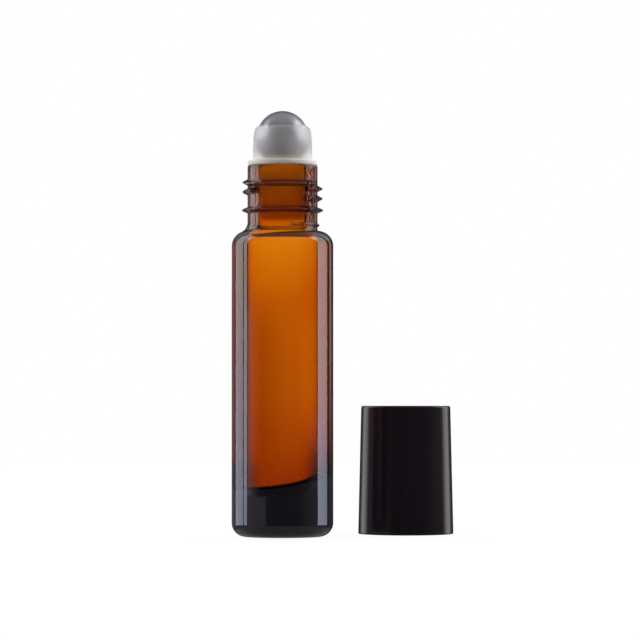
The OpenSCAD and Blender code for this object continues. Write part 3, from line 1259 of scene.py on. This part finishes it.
@dataclass(frozen=True)
class Surround:
    """The white surround, which mirrored rays see dimmed, dark in front and shaped by direction.

    Limits are parts of a ray's direction: x to the right, y to the back and z up. In front of
    the bottle, the left and right halves differ, and so does what its foot mirrors.
    """

    fill: Ease = (-0.5, 0.5, 0.17, 0.60)
    clear: Ease = (0.13, 0.42, 1.0, 0.12)
    low_bent: Ease = (0.0, 0.25, 0.10, 0.30)
    low_plain: float = 0.05
    back_rise: Limits = (0.38, 0.64)
    back_level: float = 0.40
    flank_rise: Limits = (0.15, 0.45)
    flank_level: Ease = (-0.2, 0.2, 0.42, 0.65)
    flank_turn: Limits = (0.20, 0.50)
    side_turn: Limits = (-0.4, 0.0)
    left_swell: Limits = (-0.82, -0.05)
    left_drop: Ease = (0.015, 0.035, 0.75, 0.11)
    right_swell: Ease = (-0.62, -0.15, 0.02, 0.22)
    right_drop: Ease = (-0.014, 0.0, 1.0, 0.25)
    foot_left: Ease = (-0.83, -0.75, 0.04, 0.34)
    foot_right: Ease = (-0.67, -0.60, 0.04, 0.12)
    foot_line: Limits = (-0.0295, -0.0272)
    front_rise: Limits = (0.3, 1.0)
    front_level: float = 0.34
    back_turn: Limits = (-0.1, 0.3)
    below: Ease = (-0.45, -0.15, 1.0, 0.0)
    below_level: float = 0.32

    def behind(self, board: NodeBoard, x: Socket, z: Socket, through: Socket) -> Socket:
        """Works out what mirrored rays see behind the bottle.

        Args:
            board: The world's board.
            x: The direction's part to the right.
            z: The direction's part upwards.
            through: The mask of rays through glass.

        Returns:
            The level's socket.
        """
        low = board.mix(through, self.low_plain, board.ramp(x, *self.low_bent))
        back = board.ramp(z, *self.back_rise, low, self.back_level)
        flank = board.ramp(z, *self.flank_rise, low, board.ramp(x, *self.flank_level))
        turned = board.ramp(board.math("ABSOLUTE", x), *self.flank_turn)
        return board.mix(turned, back, flank)

    def ahead(self, board: NodeBoard, x: Socket, y: Socket, z: Socket) -> Socket:
        """Works out what mirrored rays see in front of the bottle.

        Args:
            board: The world's board.
            x: The direction's part to the right.
            y: The direction's part to the back.
            z: The direction's part upwards.

        Returns:
            The level's socket.
        """
        side = board.ramp(x, *self.side_turn)
        swell = board.ramp(y, *self.left_swell)
        left = board.product(swell, swell, board.ramp(z, *self.left_drop))
        right = board.product(board.ramp(y, *self.right_swell), board.ramp(z, *self.right_drop))
        foot = board.mix(side, board.ramp(y, *self.foot_left), board.ramp(y, *self.foot_right))
        over_foot = board.ramp(z, *self.foot_line)
        low = board.mix(over_foot, foot, board.mix(side, left, right))
        return board.ramp(z, *self.front_rise, low, self.front_level)

    def make(self) -> bpy.types.World:
        """Builds the surround.

        Returns:
            The world.
        """
        world = bpy.data.worlds.new("surround")
        world.use_nodes = True
        world.node_tree.nodes.clear()
        board = NodeBoard(world.node_tree)
        x, y, z = board.split(board.add("ShaderNodeTexCoord").outputs["Generated"])
        rays = board.rays()
        front, back = self.ahead(board, x, y, z), self.behind(board, x, z, rays.through)
        dim = board.mix(board.ramp(y, *self.back_turn), front, back)
        dim = board.mix(board.ramp(z, *self.below), dim, self.below_level)
        level = board.mix(rays.mirrored, board.ramp(y, *self.fill), dim)
        clear = board.ramp(board.math("ABSOLUTE", z), *self.clear)
        level = board.mix(rays.direct, level, clear)
        level = board.mix(rays.camera, level, 1.0)
        air = board.add("ShaderNodeBackground")
        air.inputs["Color"].default_value = (1.0, 1.0, 1.0, 1.0)
        board.feed(air.inputs["Strength"], level)
        out = board.add("ShaderNodeOutputWorld")
        board.feed(out.inputs["Surface"], air.outputs[0])
        return world


@dataclass
class Studio:
    """Camera, floor, surround and lamps of the set, in millimetres and degrees."""

    lit: dict[str, list[bpy.types.Object]]
    camera_distance: float = 680.0
    camera_height: float = 28.0
    camera_offset: float = 7.38
    aim_height: float = 42.6
    lens: float = 194.3
    sensor: float = 36.0
    clip: Limits = (0.01, 50.0)
    floor_r: float = 700.0
    floor_drop: float = 0.02
    floor_steps: int = 128
    floor_glow: float = 0.92
    floor_shade: Colour = (0.26, 0.26, 0.26)
    floor_bounce: Colour = (0.6, 0.6, 0.6)
    floor_mirrored: float = 0.05
    air: Surround = Surround()
    lamp_distance: float = 500.0
    lamp_low: float = -80.0
    lamp_high: float = 640.0
    lamp_fade: Limits = (0.095, 0.20)
    lamp_tint: tuple[tuple[float, Colour], ...] = (
        (0.08, (0.82, 0.90, 1.18)), (0.22, (1.0, 1.0, 1.0)),
    )
    boxes: tuple[SoftBox, ...] = (
        SoftBox("left_wide", Side.LEFT, 48.5, 80.1, 3.0, 0.6, ("bottle",)),
        SoftBox("left_narrow", Side.LEFT, 82.9, 93.0, 3.2, 1.0, ("bottle",)),
        SoftBox("right_wide", Side.RIGHT, 58.5, 92.5, 4.2, 0.4, ("bottle",)),
        SoftBox("right_narrow", Side.RIGHT, 35.0, 46.0, 0.8, 1.0, ("bottle",), low_share=0.0),
        SoftBox("left_edge", Side.LEFT, 14.0, 44.0, 0.14, 1.0, ("bottle",)),
        SoftBox("left_ball", Side.LEFT, 60.0, 91.0, 0.6, 1.0, ("ball",)),
        SoftBox("right_ball", Side.RIGHT, 60.0, 96.0, 1.9, 0.5, ("ball",)),
        SoftBox("left_housing", Side.LEFT, 40.0, 105.0, 3.1, 1.0, ("housing",), through=True),
        SoftBox("right_housing", Side.RIGHT, 40.0, 105.0, 3.5, 1.0, ("housing",), through=True),
        SoftBox("left_cap", Side.LEFT, 38.0, 64.0, 1.5, 1.0, ("cap",), cool=False),
        SoftBox("right_cap", Side.RIGHT, 46.5, 71.0, 1.6, 1.0, ("cap",), cool=False),
    )

    def camera(self) -> None:
        """Sets the camera at the photograph's viewpoint."""
        data = bpy.data.cameras.new("camera")
        data.lens = self.lens
        data.sensor_width = self.sensor
        data.clip_start, data.clip_end = self.clip
        camera = bpy.data.objects.new("camera", data)
        place = Vector((self.camera_offset, -self.camera_distance, self.camera_height)) * MM
        aim = Vector((self.camera_offset, 0.0, self.aim_height)) * MM
        camera.location = place
        camera.rotation_mode = "QUATERNION"
        camera.rotation_quaternion = (aim - camera.location).to_track_quat("-Z", "Y")
        bpy.context.scene.collection.objects.link(camera)
        bpy.context.scene.camera = camera

    def paper(self) -> bpy.types.Material:
        """Builds the floor's material: white with a shadow to the eye, plain to other rays.

        Returns:
            The material.
        """
        paper = blank_material("floor_paper")
        board = NodeBoard(paper.node_tree)
        rays = board.rays()
        seen = board.math("MAXIMUM", rays.camera, rays.direct)
        shade = board.add("ShaderNodeBsdfDiffuse")
        shade.inputs["Color"].default_value = (*self.floor_shade, 1.0)
        light = board.add("ShaderNodeEmission")
        board.feed(light.inputs["Strength"], self.floor_glow)
        white = board.add("ShaderNodeAddShader")
        bounce = board.add("ShaderNodeBsdfDiffuse")
        bounce.inputs["Color"].default_value = (*self.floor_bounce, 1.0)
        dim = board.add("ShaderNodeEmission")
        board.feed(dim.inputs["Strength"], self.floor_mirrored)
        other = board.add("ShaderNodeMixShader")
        both = board.add("ShaderNodeMixShader")
        joins = (
            (white, (light.outputs[0], shade.outputs[0])),
            (other, (rays.mirrored, bounce.outputs[0], dim.outputs[0])),
            (both, (seen, other.outputs[0], white.outputs[0])),
            (board.add("ShaderNodeOutputMaterial"), (both.outputs[0],)),
        )
        for node, sources in joins:
            for socket, source in zip(node.inputs, sources):
                board.feed(socket, source)
        return paper

    def floor(self) -> None:
        """Lays a plain pale floor that keeps a soft shadow."""
        form = bmesh.new()
        bmesh.ops.create_circle(
            form, cap_ends=True, segments=self.floor_steps, radius=self.floor_r * MM)
        bmesh.ops.translate(form, verts=form.verts, vec=(0.0, 0.0, -self.floor_drop * MM))
        mesh = bpy.data.meshes.new("floor")
        form.to_mesh(mesh)
        form.free()
        mesh.materials.append(self.paper())
        sheet = bpy.data.objects.new("floor", mesh)
        bpy.context.scene.collection.objects.link(sheet)
        sheet.visible_glossy = False

    def glow(self, data: bpy.types.Light, box: SoftBox) -> None:
        """Shades a soft box across its width and towards its foot.

        Args:
            data: The lamp's data.
            box: The soft box.
        """
        data.use_nodes = True
        data.node_tree.nodes.clear()
        board = NodeBoard(data.node_tree)
        across, up, _ = board.split(board.add("ShaderNodeNewGeometry").outputs["Parametric"])
        ends = (box.back_share, 1.0) if box.side is Side.LEFT else (1.0, box.back_share)
        light = board.add("ShaderNodeEmission")
        if box.cool:
            board.feed(light.inputs["Color"], board.colours(up, list(self.lamp_tint)))
        foot = board.ramp(up, *self.lamp_fade, box.low_share, 1.0)
        board.feed(light.inputs["Strength"], board.product(board.mix(across, *ends), foot))
        out = board.add("ShaderNodeOutputLight")
        board.feed(out.inputs["Surface"], light.outputs[0])

    def lamp(self, box: SoftBox) -> None:
        """Stands a tall soft box beside the set.

        Args:
            box: Its sizes and the bodies that it lights.
        """
        bearing = math.radians((box.back + box.front) / 2)
        half = math.radians((box.front - box.back) / 2)
        reach = self.lamp_distance * MM
        height = (self.lamp_high + self.lamp_low) / 2 * MM
        data = bpy.data.lights.new(box.name, "AREA")
        data.shape = "RECTANGLE"
        data.size = 2 * reach * math.tan(half)
        data.size_y = (self.lamp_high - self.lamp_low) * MM
        data.energy = box.radiance * math.pi * data.size * data.size_y
        self.glow(data, box)
        lamp = bpy.data.objects.new(box.name, data)
        aside = box.side.value * math.sin(bearing) * reach
        lamp.location = (aside, math.cos(bearing) * reach, height)
        inward = Vector((0.0, 0.0, height)) - lamp.location
        lamp.rotation_mode = "QUATERNION"
        lamp.rotation_quaternion = inward.to_track_quat("-Z", "Y")
        lamp.visible_camera = False
        lamp.visible_transmission = box.through
        bpy.context.scene.collection.objects.link(lamp)
        lit = bpy.data.collections.new(f"lit_by_{box.name}")
        for body in box.lights:
            for piece in self.lit[body]:
                lit.objects.link(piece)
        lamp.light_linking.receiver_collection = lit

    def build(self) -> None:
        """Sets up the camera, floor, surround and lamps."""
        self.camera()
        self.floor()
        bpy.context.scene.world = self.air.make()
        for box in self.boxes:
            self.lamp(box)
        bpy.context.scene.view_settings.view_transform = "Standard"


def main() -> None:
    """Builds and dresses every piece and sets the scene."""
    logging.basicConfig(level=logging.INFO, format="%(message)s")
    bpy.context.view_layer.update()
    bottle = GlassBottle().build()
    housing, ball = BallHousing().build()
    cap = ScrewCap().build()
    pieces = {"bottle": [bottle], "housing": [housing], "ball": [ball], "cap": cap}
    for body, group in pieces.items():
        for piece in group:
            LOG.info("%s on %s: %d faces", piece.name, body, len(piece.data.polygons))
    Studio(pieces).build()


if __name__ == "__main__":
    main()
